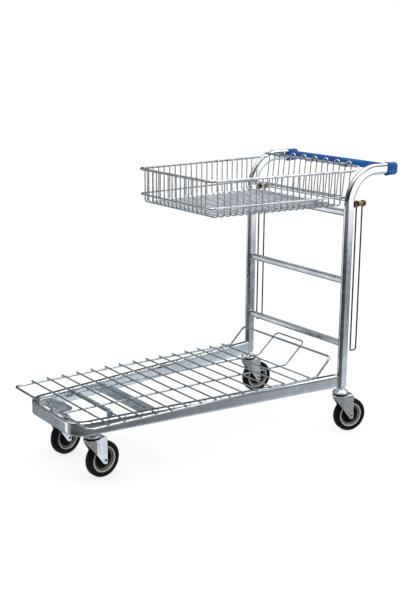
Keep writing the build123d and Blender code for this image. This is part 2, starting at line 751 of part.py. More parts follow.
def build_caster_heads():
    """Fixed upper race cups with their collars, one under each mounting."""
    with BuildPart() as caster_heads:
        for x, y, _ in CASTERS.values():
            with BuildSketch(Plane(origin=(x, y, 0), x_dir=(1, 0, 0), z_dir=(0, -1, 0))):
                Polygon(
                    (KINGPIN_RADIUS, HEAD_BOTTOM_Z + 1.0),
                    (22.0, HEAD_BOTTOM_Z + 1.0),
                    (24.0, HEAD_BOTTOM_Z),
                    (29.0, HEAD_BOTTOM_Z),
                    (30.0, HEAD_BOTTOM_Z + 1.5),
                    (27.0, HEAD_BOTTOM_Z + 6.0),
                    (20.0, HEAD_BOTTOM_Z + 10.0),
                    (16.0, HEAD_BOTTOM_Z + 12.0),
                    (15.0, CHASSIS_BOTTOM_Z - 0.1),
                    (KINGPIN_RADIUS, CHASSIS_BOTTOM_Z - 0.1),
                    align=None,
                )
            revolve(axis=Axis((x, y, 0), (0, 0, 1)))
    save(caster_heads.part, "caster_heads")


def build_kingpins():
    """Pins on which the forks turn, headed below the fork's crown."""
    with BuildPart() as kingpins:
        for x, y, _ in CASTERS.values():
            with BuildSketch(Plane.XY.offset(CROWN_Z - 8.0)):
                with Locations((x, y)):
                    RegularPolygon(KINGPIN_HEAD_RADIUS, 6)
            extrude(amount=7.4)
            with BuildSketch(Plane.XY.offset(CROWN_Z - 1.0)):
                with Locations((x, y)):
                    Circle(KINGPIN_RADIUS)
            extrude(amount=KINGPIN_TOP_Z - CROWN_Z + 1.0)
    save(kingpins.part, "kingpins")


def fork_outline(half_width, nose_radius, rear_x):
    """Outline of the fork seen from above: straight flanks that close to a narrow nose."""
    shoulder = FORK_SHOULDER_X - rear_x
    with Locations((FORK_SHOULDER_X - shoulder / 2, 0)):
        Rectangle(shoulder, 2 * half_width)
    with Locations((CROWN_NOSE_X - FORK_NOSE_RADIUS, 0)):
        Circle(nose_radius)
    make_hull()


def build_fork(name, frame):
    """Fork pressed from one sheet: a crown whose skirt runs down into two legs."""
    outer = FORK_INNER + FORK_THICK
    foot_z = WHEEL_RADIUS - FORK_FOOT_RADIUS - 1.0
    top_z = CROWN_Z + CROWN_THICK
    with BuildPart() as fork:
        with BuildSketch(moved_plane(frame, Plane.XY.offset(foot_z))):
            fork_outline(outer, FORK_NOSE_RADIUS, CROWN_REAR_X)
        extrude(amount=top_z - foot_z)
        fillet(fork.edges().group_by(Axis.Z)[-1], radius=3.0)
        with BuildSketch(moved_plane(frame, Plane.XY.offset(foot_z - 1.0))):
            fork_outline(FORK_INNER, FORK_NOSE_RADIUS - FORK_THICK, CROWN_REAR_X - 1.0)
        extrude(amount=CROWN_Z - foot_z + 1.0, mode=Mode.SUBTRACT)
        with BuildSketch(moved_plane(frame, Plane.XZ)):
            with Locations((-TRAIL, WHEEL_RADIUS)):
                Circle(FORK_FOOT_RADIUS)
            with Locations(((CROWN_NOSE_X + CROWN_REAR_X) / 2, CROWN_Z + CROWN_THICK / 2)):
                Rectangle(CROWN_NOSE_X - CROWN_REAR_X, CROWN_THICK)
            make_hull()
        extrude(amount=outer + 1.0, both=True, mode=Mode.INTERSECT)
        with BuildSketch(moved_plane(frame, Plane.XY.offset(CROWN_Z))):
            Circle(CROWN_RADIUS)
        extrude(amount=CROWN_THICK)
        for start in (outer - 0.2, -outer - FORK_RIB_HEIGHT):
            with BuildSketch(moved_plane(frame, Plane.XZ.offset(-start - FORK_RIB_HEIGHT - 0.2))):
                with Locations((FORK_RIB_X - 2.0, WHEEL_RADIUS + 30.0)):
                    Circle(2.0)
                with Locations((FORK_RIB_X, CROWN_Z - 6.0)):
                    Circle(5.0)
                make_hull()
            extrude(amount=FORK_RIB_HEIGHT + 0.2)
        with BuildSketch(moved_plane(frame, Plane.XY.offset(CROWN_Z - 5.0))):
            Circle(KINGPIN_RADIUS + RUNNING_CLEARANCE)
        extrude(amount=CROWN_THICK + 10.0, mode=Mode.SUBTRACT)
        with BuildSketch(moved_plane(frame, Plane.XZ.offset(-60.0))):
            with Locations((-TRAIL, WHEEL_RADIUS)):
                Circle(AXLE_RADIUS)
        extrude(amount=120.0, mode=Mode.SUBTRACT)
    save(fork.part, name)


def build_lower_race(name, frame):
    """Ball race cup riveted on the fork's crown."""
    with BuildPart() as lower_race:
        with BuildSketch(moved_plane(frame, Plane.XY.offset(CROWN_Z + CROWN_THICK))):
            Circle(RACE_RADIUS)
            Circle(KINGPIN_RADIUS + RUNNING_CLEARANCE, mode=Mode.SUBTRACT)
        extrude(amount=RACE_TOP_Z - CROWN_Z - CROWN_THICK)
        fillet(lower_race.edges().group_by(Axis.Z)[-1].sort_by(SortBy.LENGTH)[-1], radius=2.5)
    save(lower_race.part, name)


def wheel_plane(frame):
    """Plane through the axle: X along the axle, Y up."""
    return moved_plane(
        frame,
        Plane(origin=(-TRAIL, 0, WHEEL_RADIUS), x_dir=(0, 1, 0), z_dir=(1, 0, 0)),
    )


def build_axle(name, frame):
    """Tubular rivet through the fork's feet, with a flat head on each side."""
    plane = wheel_plane(frame)
    face = FORK_INNER + FORK_THICK + 0.1
    cross = Plane(origin=plane.origin, x_dir=plane.y_dir, z_dir=plane.x_dir)
    with BuildPart() as axle:
        with BuildSketch(cross):
            Circle(AXLE_RADIUS)
        extrude(amount=face + RIVET_HEAD_THICK, both=True)
        for side in (1, -1):
            start = plane.from_local_coords(Vector(side * face, 0, 0))
            with BuildSketch(Plane(origin=start, x_dir=plane.y_dir, z_dir=plane.x_dir * side)):
                Circle(RIVET_HEAD_RADIUS)
            extrude(amount=RIVET_HEAD_THICK)
        with BuildSketch(cross):
            Circle(RIVET_HOLE_RADIUS)
        extrude(amount=face + RIVET_HEAD_THICK + 1.0, both=True, mode=Mode.SUBTRACT)
    save(axle.part, name)


def build_tyre(name, frame):
    plane = wheel_plane(frame)
    half = TYRE_WIDTH / 2
    with BuildPart() as tyre:
        with BuildSketch(plane):
            Polygon(
                (-half + 2.0, TYRE_INNER_RADIUS),
                (half - 2.0, TYRE_INNER_RADIUS),
                (half, TYRE_INNER_RADIUS + 3.0),
                (half, WHEEL_RADIUS - 8.0),
                (half - 3.0, WHEEL_RADIUS - 2.5),
                (half - 8.0, WHEEL_RADIUS),
                (-half + 8.0, WHEEL_RADIUS),
                (-half + 3.0, WHEEL_RADIUS - 2.5),
                (-half, WHEEL_RADIUS - 8.0),
                (-half, TYRE_INNER_RADIUS + 3.0),
                align=None,
            )
        revolve(axis=Axis(plane.origin, plane.x_dir))
    save(tyre.part, name)


def build_hub(name, frame):
    """Dished wheel centre: rim ring, thin web and long boss."""
    plane = wheel_plane(frame)
    rim = HUB_WIDTH / 2
    web = HUB_WEB / 2
    boss = BOSS_WIDTH / 2
    bore = AXLE_RADIUS + RUNNING_CLEARANCE
    profile = [(bore, boss), (BOSS_RADIUS, boss), (BOSS_RADIUS + 3.0, web + 2.0), (20.0, web)]
    profile += [(34.0, web), (38.0, rim - 2.0), (40.0, rim), (TYRE_INNER_RADIUS, rim)]
    with BuildPart() as hub:
        with BuildSketch(plane):
            Polygon(
                *[(x, r) for r, x in profile],
                *[(-x, r) for r, x in reversed(profile)],
                align=None,
            )
        revolve(axis=Axis(plane.origin, plane.x_dir))
    save(hub.part, name)


def build_caster(name, x, y, angle):
    frame = caster_frame(x, y, angle)
    build_fork(f"{name}_fork", frame)
    build_lower_race(f"{name}_race", frame)
    build_axle(f"{name}_axle", frame)
    build_tyre(f"{name}_tyre", frame)
    build_hub(f"{name}_hub", frame)


build_base_frame()
build_cross_plate()
build_support_strap()
build_front_caster_plates()
build_deck_clips()
build_upright("left_upright", 1)
build_upright("right_upright", -1)
build_stem_plugs()
for bar_name, bar_z in BAR_Z.items():
    build_crossbar(bar_name, bar_z)
build_handle_cap("left_handle_cap", 1)
build_handle_cap("right_handle_cap", -1)
build_handle_bar()
build_deck_edge()
build_deck_ramp(
    "deck_outer_ramp", DECK_WIRE_RADIUS, DECK_HALF, DECK_RAMP_X, RAMP_TOP_X, RAMP_TOP_Z
)
build_deck_inner_wires()
build_deck_ramp(
    "deck_inner_ramp", INNER_WIRE_RADIUS, INNER_HALF, INNER_RAMP_X, INNER_TOP_X, INNER_TOP_Z
)
build_deck_cross_wires()
build_basket_rim()
build_basket_belt()
build_basket_side("basket_left_side", 1)
build_basket_side("basket_right_side", -1)
build_basket_front()
build_basket_floor_cross()
build_basket_floor_long()
build_basket_flap()
build_bail("left_bail", 1)
build_bail("right_bail", -1)
build_bail_bolts()
build_bail_spacers()
build_bail_nuts()
build_caster_heads()
build_kingpins()
for caster_name, (caster_x, caster_y, caster_angle) in CASTERS.items():
    build_caster(caster_name, caster_x, caster_y, caster_angle)
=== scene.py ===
"""Looks of the nestable platform trolley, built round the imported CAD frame.

Lengths are in metres where bpy needs them and in millimetres where a name or comment says so,
always in the CAD frame: +X is the way the trolley is pushed, +Y its left side, +Z up.
"""

import json
import math

import bpy
from mathutils import Euler, Matrix, Vector


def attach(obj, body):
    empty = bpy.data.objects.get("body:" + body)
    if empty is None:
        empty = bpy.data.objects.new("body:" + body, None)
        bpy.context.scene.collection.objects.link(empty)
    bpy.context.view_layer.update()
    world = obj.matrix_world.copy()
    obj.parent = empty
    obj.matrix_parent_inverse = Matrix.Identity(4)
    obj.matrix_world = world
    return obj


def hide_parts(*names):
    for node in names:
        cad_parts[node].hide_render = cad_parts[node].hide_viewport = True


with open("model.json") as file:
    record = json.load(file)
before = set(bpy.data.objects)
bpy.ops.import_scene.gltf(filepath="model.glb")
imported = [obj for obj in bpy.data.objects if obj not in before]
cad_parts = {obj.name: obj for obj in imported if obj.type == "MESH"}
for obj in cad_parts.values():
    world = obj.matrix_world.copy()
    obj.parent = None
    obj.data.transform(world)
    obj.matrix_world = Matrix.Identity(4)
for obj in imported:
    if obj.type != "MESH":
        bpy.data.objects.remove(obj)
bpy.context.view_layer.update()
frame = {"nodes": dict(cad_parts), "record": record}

MM = 0.001

# ------------------------------------------------------------------ camera and light

CAMERA_AT = (2.18456, 2.9182, 1.43069)
CAMERA_EULER_DEG = (75.7659, -0.4590, 143.7111)
CAMERA_LENS_MM = 62.94
CAMERA_SENSOR_MM = 36.0
CAMERA_CLIP_END = 100.0

FLOOR_SIZE = 60.0
FLOOR_GREY = 0.22
FLOOR_GLOW = 0.74
FLOOR_ROUGHNESS = 0.9

# Area lights: where each stands, what it points at, its two sides and its power in watts.
STUDIO_LIGHTS = {
    "key": ((-1.6, 3.6, 1.6), (0, 0, 0.5), (1.6, 2.4), 14),
    "top": ((0.4, 0.6, 3.6), (0, 0, 0), (1.2, 1.2), 20),
}

# White light from all round: what falls on the object, and what shows behind it.
SOFT_LIGHT = 1.35
BACKDROP_LIGHT = 1.0

# What the metal reflects, by the height of the direction, from straight down to straight up.
SKY = [
    (0.00, (0.50, 0.53, 0.56)),
    (0.34, (0.56, 0.61, 0.66)),
    (0.37, (0.17, 0.20, 0.22)),
    (0.40, (0.22, 0.25, 0.28)),
    (0.41, (0.55, 0.57, 0.59)),
    (0.425, (1.25, 1.26, 1.27)),
    (0.48, (0.90, 0.92, 0.94)),
    (0.52, (0.05, 0.07, 0.09)),
    (0.62, (0.09, 0.12, 0.14)),
    (0.72, (0.20, 0.24, 0.27)),
    (0.82, (1.60, 1.60, 1.60)),
    (1.00, (2.60, 2.60, 2.60)),
]

# The sky is dimmed by a dark flag at the front left and towards the right side of the room.
# Each pair of ends is (cosine to the direction, or its Y; factor there).
FLAG_SIDE = (0.60, 0.80, 0.0)
FLAG_ENDS = ((0.10, 1.25), (0.60, 0.22))
ROOM_ENDS = ((-1.0, 0.30), (1.0, 1.15))

# A white card at the front right, low down, that the uprights' front faces reflect.
CARD_SIDE = (0.69, -0.68, -0.24)
CARD_ENDS = ((0.965, 0.0), (0.985, 0.85))


def fill_ramp(node, stops):
    """Sets a colour ramp's stops; each stop is (position, (r, g, b))."""
    elements = node.color_ramp.elements
    for element, (position, color) in ((elements[0], stops[0]), (elements[1], stops[-1])):
        element.position = position
        element.color = (*color, 1)
    for position, color in stops[1:-1]:
        elements.new(position).color = (*color, 1)


def map_range(tree, value, low_end, high_end, interpolation="LINEAR"):
    """A value mapped from one end to the other; each end is (value in, value out)."""
    node = tree.nodes.new("ShaderNodeMapRange")
    node.interpolation_type = interpolation
    node.inputs["From Min"].default_value = low_end[0]
    node.inputs["From Max"].default_value = high_end[0]
    node.inputs["To Min"].default_value = low_end[1]
    node.inputs["To Max"].default_value = high_end[1]
    tree.links.new(value, node.inputs["Value"])
    return node.outputs["Result"]


def math_node(tree, kind, operation, *values):
    """A Math or VectorMath node; a value is a number, a tuple or another node's output."""
    node = tree.nodes.new(kind)
    node.operation = operation
    sockets = [socket for socket in node.inputs if socket.enabled]
    for socket, value in zip(sockets, values):
        if isinstance(value, bpy.types.NodeSocket):
            tree.links.new(value, socket)
        else:
            socket.default_value = value
    return [socket for socket in node.outputs if socket.enabled][0]


def build_camera():
    """The viewpoint: from the front left, a little above the handle."""
    data = bpy.data.cameras.new("camera")
    data.sensor_width = CAMERA_SENSOR_MM
    data.lens = CAMERA_LENS_MM
    data.clip_end = CAMERA_CLIP_END
    camera = bpy.data.objects.new("camera", data)
    camera.location = CAMERA_AT
    camera.rotation_euler = Euler([math.radians(a) for a in CAMERA_EULER_DEG])
    bpy.context.scene.collection.objects.link(camera)
    bpy.context.scene.camera = camera


def area_light(name, at, aim, size, power):
    """A soft rectangular light at a point, turned towards another."""
    data = bpy.data.lights.new(name, "AREA")
    data.shape = "RECTANGLE"
    data.size = size[0]
    data.size_y = size[1]
    data.energy = power
    light = bpy.data.objects.new(name, data)
    light.location = at
    light.rotation_euler = (Vector(aim) - Vector(at)).to_track_quat("-Z", "Y").to_euler()
    bpy.context.scene.collection.objects.link(light)


def reflected_sky(tree):
    """Colour of the sky in one direction: the ramp, dimmed by flag and room, plus the card."""
    direction = tree.nodes.new("ShaderNodeTexCoord").outputs["Generated"]
    split = tree.nodes.new("ShaderNodeSeparateXYZ")
    tree.links.new(direction, split.inputs[0])
    ramp = tree.nodes.new("ShaderNodeValToRGB")
    fill_ramp(ramp, SKY)
    height = map_range(tree, split.outputs["Z"], (-1.0, 0.0), (1.0, 1.0))
    tree.links.new(height, ramp.inputs["Fac"])

    to_flag = math_node(tree, "ShaderNodeVectorMath", "DOT_PRODUCT", direction, FLAG_SIDE)
    flag = map_range(tree, to_flag, *FLAG_ENDS, "SMOOTHSTEP")
    room = map_range(tree, split.outputs["Y"], *ROOM_ENDS)
    gain = math_node(tree, "ShaderNodeMath", "MULTIPLY", flag, room)
    to_card = math_node(tree, "ShaderNodeVectorMath", "DOT_PRODUCT", direction, CARD_SIDE)
    card = map_range(tree, to_card, *CARD_ENDS)

    dimmed = math_node(tree, "ShaderNodeVectorMath", "SCALE", ramp.outputs["Color"], gain)
    return math_node(tree, "ShaderNodeVectorMath", "ADD", dimmed, card)


def build_world():
    """Plain white all round, and the darker sky for what the metal reflects."""
    world = bpy.data.worlds.new("studio")
    world.use_nodes = True
    world.cycles.sampling_method = "NONE"
    tree = world.node_tree
    tree.nodes.clear()
    path = tree.nodes.new("ShaderNodeLightPath")
    soft = tree.nodes.new("ShaderNodeBackground")
    soft.inputs["Color"].default_value = (1.0, 1.0, 1.0, 1)
    strength = map_range(tree, path.outputs["Is Camera Ray"], (0.0, SOFT_LIGHT),
                         (1.0, BACKDROP_LIGHT))
    tree.links.new(strength, soft.inputs["Strength"])
    shine = tree.nodes.new("ShaderNodeBackground")
    tree.links.new(reflected_sky(tree), shine.inputs["Color"])
    mix = tree.nodes.new("ShaderNodeMixShader")
    tree.links.new(path.outputs["Is Glossy Ray"], mix.inputs["Fac"])
    tree.links.new(soft.outputs[0], mix.inputs[1])
    tree.links.new(shine.outputs[0], mix.inputs[2])
    out = tree.nodes.new("ShaderNodeOutputWorld")
    tree.links.new(mix.outputs[0], out.inputs["Surface"])
    bpy.context.scene.world = world


def build_floor():
    """The plain pale floor, which isn't part of the object; the metal reflects the sky instead."""
    half = FLOOR_SIZE / 2
    mesh = bpy.data.meshes.new("floor")
    corners = [(-half, -half, 0), (half, -half, 0), (half, half, 0), (-half, half, 0)]
    mesh.from_pydata(corners, [], [(0, 1, 2, 3)])
    floor = bpy.data.objects.new("floor", mesh)
    bpy.context.scene.collection.objects.link(floor)
    floor.visible_glossy = False
    material = bpy.data.materials.new("pale_floor")
    material.use_nodes = True
    shader = material.node_tree.nodes["Principled BSDF"]
    shader.inputs["Base Color"].default_value = (FLOOR_GREY, FLOOR_GREY, FLOOR_GREY, 1)
    shader.inputs["Roughness"].default_value = FLOOR_ROUGHNESS
    shader.inputs["Specular IOR Level"].default_value = 0.0
    shader.inputs["Emission Color"].default_value = (1.0, 1.0, 1.0, 1)
    shader.inputs["Emission Strength"].default_value = FLOOR_GLOW
    mesh.materials.append(material)


def build_studio():
    """Camera, floor, sky and the soft lights."""
    scene = bpy.context.scene
    scene.view_settings.view_transform = "Standard"
    scene.view_settings.look = "None"
    scene.cycles.use_denoising = True
    build_camera()
    build_floor()
    build_world()
    for name, settings in STUDIO_LIGHTS.items():
        area_light(name, *settings)


# ------------------------------------------------------------------ materials

FINE_GRAIN_HEIGHT = 0.04 * MM


class Shader:
    """A principled material, with helpers that add the texture nodes that vary it."""

    def __init__(self, name, **uniform):
        self.material = bpy.data.materials.new(name)
        self.material.use_nodes = True
        self.tree = self.material.node_tree
        self.bsdf = self.tree.nodes["Principled BSDF"]
        self.coords = self.tree.nodes.new("ShaderNodeTexCoord")
        self.normal = None
        for socket, value in uniform.items():
            self.bsdf.inputs[socket.replace("_", " ")].default_value = value

    def noise(self, scale, detail=4.0, stretch=(1, 1, 1), distortion=0.0):
        """Noise in object coordinates, scale in cells per metre."""
        mapping = self.tree.nodes.new("ShaderNodeMapping")
        mapping.inputs["Scale"].default_value = stretch
        node = self.tree.nodes.new("ShaderNodeTexNoise")
        node.inputs["Scale"].default_value = scale
        node.inputs["Detail"].default_value = detail
        node.inputs["Distortion"].default_value = distortion
        self.tree.links.new(self.coords.outputs["Object"], mapping.inputs["Vector"])
        self.tree.links.new(mapping.outputs["Vector"], node.inputs["Vector"])
        return node.outputs["Fac"]

    def ramp(self, value, *stops):
        """A colour ramp; each stop is (position, (r, g, b))."""
        node = self.tree.nodes.new("ShaderNodeValToRGB")
        fill_ramp(node, stops)
        self.tree.links.new(value, node.inputs["Fac"])
        return node.outputs["Color"]

    def span(self, value, low, high):
        """Noise values from 0.3 to 0.7 stretched to the range from low to high."""
        return map_range(self.tree, value, (0.3, low), (0.7, high))

    def bump(self, value, height, strength):
        """Raises the surface by the value, height metres at most, on top of earlier bumps."""
        node = self.tree.nodes.new("ShaderNodeBump")
        node.inputs["Strength"].default_value = strength
        node.inputs["Distance"].default_value = height
        self.tree.links.new(value, node.inputs["Height"])
        if self.normal:
            self.tree.links.new(self.normal, node.inputs["Normal"])
        self.normal = node.outputs["Normal"]
        self.tree.links.new(self.normal, self.bsdf.inputs["Normal"])

    def set(self, socket, output):
        """Feeds one of the shader's sockets from a texture."""
        self.tree.links.new(output, self.bsdf.inputs[socket])


def metal_material(name, dark, light, rough, mottle, grain, dent, stretch=(1, 1, 1),
                   metallic=1.0):
    """Plated or bare metal: mottled colour, uneven gloss, faint dents and a very fine grain.

    Mottle and grain are in cells per metre, dent is a depth in metres, and stretch below 1 draws
    the mottling out along an axis.
    """
    shader = Shader(name, Metallic=metallic)
    patches = shader.noise(mottle, 6.0, stretch, 0.6)
    shader.set("Base Color", shader.ramp(patches, (0.38, dark), (0.62, light)))
    shader.set("Roughness", shader.span(shader.noise(mottle * 2.3, 5.0), *rough))
    shader.bump(shader.noise(mottle * 0.8, 3.0, stretch), dent, 0.6)
    shader.bump(shader.noise(grain, 3.0), FINE_GRAIN_HEIGHT, 0.3)
    return shader.material


def plastic_material(name, dark, light, rough, grain, gloss):
    """Moulded plastic: slightly uneven colour, a fine grain and handling marks in the gloss."""
    shader = Shader(name, Specular_IOR_Level=gloss)
    shader.set("Base Color", shader.ramp(shader.noise(35, 4.0), (0.3, dark), (0.7, light)))
    shader.set("Roughness", shader.span(shader.noise(60, 6.0), *rough))
    shader.bump(shader.noise(grain, 2.0), 1.5 * FINE_GRAIN_HEIGHT, 0.4)
    return shader.material


def rubber_material():
    """Solid black tyre rubber, dusty in patches."""
    shader = Shader("tyre_rubber", Specular_IOR_Level=0.12)
    dust = shader.noise(28, 8.0)
    shader.set("Base Color", shader.ramp(dust, (0.35, (0.0020, 0.0012, 0.0026)),
                                         (0.75, (0.0080, 0.0060, 0.0095))))
    shader.set("Roughness", shader.span(shader.noise(90, 6.0), 0.3, 0.55))
    shader.bump(shader.noise(900, 3.0), 2.5 * FINE_GRAIN_HEIGHT, 0.4)
    return shader.material


def brass_material():
    """Yellow passivated hardware."""
    shader = Shader("yellow_passivated", Metallic=1.0)
    shader.set("Base Color", shader.ramp(shader.noise(180, 6.0), (0.3, (0.24, 0.15, 0.05)),
                                         (0.7, (0.62, 0.45, 0.22))))
    shader.set("Roughness", shader.span(shader.noise(220, 5.0), 0.2, 0.42))
    shader.bump(shader.noise(1500, 3.0), FINE_GRAIN_HEIGHT, 0.35)
    return shader.material


# Colours are linear RGB at the dark and light ends of the mottling, rough is the gloss's range.
WIRE_FINISH = {"mottle": 60, "grain": 1800, "dent": 0.08 * MM}
METALS = {
    "zinc_tube": {
        "dark": (0.74, 0.77, 0.80), "light": (0.88, 0.90, 0.92), "rough": (0.05, 0.18),
        "mottle": 26, "grain": 1400, "dent": 0.04 * MM, "stretch": (1, 1, 0.5),
    },
    # Darker copy of the tube finish for the crossbars and basket floor bars: painted shade,
    # dimming the card's reflection in their flat faces.
    "zinc_bar_painted_shade": {
        "dark": (0.44, 0.48, 0.51), "light": (0.60, 0.63, 0.66), "rough": (0.08, 0.24),
        "mottle": 40, "grain": 1400, "dent": 0.05 * MM, "stretch": (1, 0.5, 1),
    },
    "zinc_wire": {
        "dark": (0.50, 0.53, 0.56), "light": (0.78, 0.80, 0.82), "rough": (0.08, 0.22),
        **WIRE_FINISH,
    },
    # Darker copy of the zinc wire for the deck: painted shade, for the deck's wires that look
    # darker under the light.
    "deck_wire_painted_shade": {
        "dark": (0.30, 0.33, 0.35), "light": (0.48, 0.51, 0.53), "rough": (0.12, 0.26),
        **WIRE_FINISH,
    },
    # Near-black copy of the zinc wire for the bails: painted shade, the same wire drawn as dark as
    # it looks in shade.
    "bail_wire_painted_shade": {
        "dark": (0.03, 0.03, 0.04), "light": (0.09, 0.09, 0.11), "rough": (0.18, 0.32),
        **WIRE_FINISH,
    },
    "zinc_pressing": {
        "dark": (0.76, 0.79, 0.82), "light": (0.90, 0.92, 0.94), "rough": (0.05, 0.16),
        "mottle": 45, "grain": 1500, "dent": 0.06 * MM, "metallic": 0.88,
    },
    "zinc_satin": {
        "dark": (0.32, 0.37, 0.41), "light": (0.42, 0.47, 0.51), "rough": (0.38, 0.55),
        "mottle": 40, "grain": 1500, "dent": 0.05 * MM,
    },
    # Near-black steel for the swivel races and the rivets' bores: painted shade in the gap between
    # head and crown and down each bore.
    "painted_shade_steel": {
        "dark": (0.03, 0.03, 0.035), "light": (0.08, 0.08, 0.09), "rough": (0.3, 0.5),
        "mottle": 90, "grain": 1500, "dent": 0.05 * MM,
    },
}
PLASTICS = {
    "blue_plastic": {
        "dark": (0.0, 0.046, 0.17), "light": (0.0, 0.092, 0.33), "rough": (0.25, 0.42),
        "grain": 1600, "gloss": 0.2,
    },
    "grey_hub": {
        "dark": (0.055, 0.050, 0.043), "light": (0.12, 0.108, 0.093), "rough": (0.25, 0.45),
        "grain": 1200, "gloss": 0.35,
    },
    # Near-black centre of the hub: painted shade in the dish round the axle, under the fork.
    "hub_centre_painted_shade": {
        "dark": (0.002, 0.0018, 0.0015), "light": (0.006, 0.005, 0.004), "rough": (0.3, 0.5),
        "grain": 1200, "gloss": 0.05,
    },
    "hub_ring": {
        "dark": (0.26, 0.25, 0.24), "light": (0.42, 0.41, 0.39), "rough": (0.2, 0.35),
        "grain": 1200, "gloss": 0.35,
    },
}
MATERIALS = {
    **{name: metal_material(name, **finish) for name, finish in METALS.items()},
    **{name: plastic_material(name, **finish) for name, finish in PLASTICS.items()},
    "yellow_brass": brass_material(),
    "black_tyre": rubber_material(),
}

CASTERS = ("left_rear", "right_rear", "left_front", "right_front")

# Nodes whose look differs from that of their slot in the record.
LOOKS = {
    # The bars get the darker copy of the tube finish: painted shade.
    "low_crossbar": "zinc_bar_painted_shade",
    "mid_crossbar": "zinc_bar_painted_shade",
    "top_crossbar": "zinc_bar_painted_shade",
    "basket_floor_cross": "zinc_bar_painted_shade",
    "basket_floor_long": "zinc_bar_painted_shade",
    "cross_plate": "zinc_satin",
    "support_strap": "zinc_satin",
    "front_caster_plates": "zinc_satin",
    # The bails are painted near-black: painted shade on zinc wire.
    "left_bail": "bail_wire_painted_shade",
    "right_bail": "bail_wire_painted_shade",
    # The deck's wires get the darker copy of the wire finish: painted shade.
    "deck_cross_wires": "deck_wire_painted_shade",
    "deck_inner_wires": "deck_wire_painted_shade",
    "deck_outer_ramp": "deck_wire_painted_shade",
    "deck_inner_ramp": "deck_wire_painted_shade",
    # The races are painted near-black: painted shade in the gap between swivel head and crown.
    **{f"{caster}_race": "painted_shade_steel" for caster in CASTERS},
}


def paint_cad():
    """Gives every CAD node its own look, or else the material of its slot in the record."""
    slots = {row["node"]: row["material_slot"] for row in frame["record"]["subparts"]}
    for name, node in frame["nodes"].items():
        node.data.materials.clear()
        node.data.materials.append(MATERIALS[LOOKS.get(name, slots[name])])


# ------------------------------------------------------------------ mesh helpers

SMOOTH_ANGLE = math.radians(38)
JOINTS = {joint["name"]: joint for joint in frame["record"]["behaviour"]["joints"]}


def make_piece(name, vertices, faces, body, slot, nodes=()):
    """One piece of finished mesh that rides on a body and stands in for CAD nodes."""
    mesh = bpy.data.meshes.new(name)
    mesh.from_pydata(vertices, [], faces)
    mesh.validate()
    mesh.shade_smooth()
    mesh.set_sharp_from_angle(angle=SMOOTH_ANGLE)
    mesh.materials.append(MATERIALS[slot])
    piece = bpy.data.objects.new(name, mesh)
    bpy.context.scene.collection.objects.link(piece)
    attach(piece, body)
    if nodes:
        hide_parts(*nodes)
    return piece


def skin(rings, closed_path):
    """Quads between rings of equal length, each ring a closed loop of vertices."""
    count = len(rings[0])
    faces = []
    last = len(rings) if closed_path else len(rings) - 1
    for i in range(last):
        here = i * count
        there = (i + 1) % len(rings) * count
        for k in range(count):
            after = (k + 1) % count
            faces.append((here + k, here + after, there + after, there + k))
    return [v for ring in rings for v in ring], faces


def spin(profile, matrix, segments):
    """A closed profile of (along the axle, radius) in mm, spun round the axle."""
    rings = []
    for i in range(segments):
        angle = 2 * math.pi * i / segments
        rings.append([
            matrix @ (Vector((r * math.sin(angle), a, r * math.cos(angle))) * MM)
            for a, r in profile
        ])
    return skin(rings, True)


def mirrored(right):
    """A whole profile from its right half."""
    return right + [(-a, r) for a, r in reversed(right)]


def tint_by_radius(piece, matrix, bands):
    """Gives faces within each (inner, outer) radius in mm about the axle another material."""
    for index, (inner, outer, slot) in enumerate(bands, start=1):
        piece.data.materials.append(MATERIALS[slot])
        for face in piece.data.polygons:
            offset = matrix.inverted() @ face.center
            if inner <= math.hypot(offset.x, offset.z) / MM < outer:
                face.material_index = index


# ------------------------------------------------------------------ wheels, in mm

WHEEL_SEGMENTS = 96
TYRE_RADIUS = 62.5
TYRE_SEAT_RADIUS = 45.0
TYRE_HALF = 15.0
SHOULDER_RADIUS = 8.5
SHOULDER_STEPS = 8
MOULD_LINE_HALF = 0.5

HUB_RING_RADIUS = 40.6
# Within this radius the hub is painted near-black as shade round the axle.
HUB_SHADE_RADIUS = 31.0

RIVET_SEGMENTS = 48
FORK_FACE = 21.5
RIVET_BORE = 4.2
RIVET_BORE_DEPTH = 4.0
RIVET_HEAD_RADIUS = 7.0
RIVET_SHANK_RADIUS = 5.0
RIVET_HEAD_HEIGHT = 1.8
RIVET_TIP_RADIUS = 0.05


def wheel_matrix(caster):
    """Axes of one wheel: Y along the axle, Z up."""
    joint = JOINTS[f"{caster}_wheel_spin"]
    axle = Vector(joint["axis"])
    ahead = axle.cross(Vector((0, 0, 1)))
    turn = Matrix((ahead, axle, (0, 0, 1))).transposed().to_4x4()
    return Matrix.Translation(joint["pos_m"]) @ turn


def tyre_profile():
    """Solid tyre with round shoulders and a moulded line down the middle of the tread."""
    flat = TYRE_HALF - SHOULDER_RADIUS
    right = [(TYRE_HALF - 2.5, TYRE_SEAT_RADIUS), (TYRE_HALF - 0.6, TYRE_SEAT_RADIUS + 1.2),
             (TYRE_HALF, TYRE_SEAT_RADIUS + 3.0)]
    for i in range(SHOULDER_STEPS + 1):
        angle = math.pi / 2 * i / SHOULDER_STEPS
        right.append((flat + SHOULDER_RADIUS * math.cos(angle),
                      TYRE_RADIUS - SHOULDER_RADIUS * (1 - math.sin(angle))))
    right += [(MOULD_LINE_HALF, TYRE_RADIUS), (MOULD_LINE_HALF - 0.2, TYRE_RADIUS - 0.3)]
    return mirrored(right)


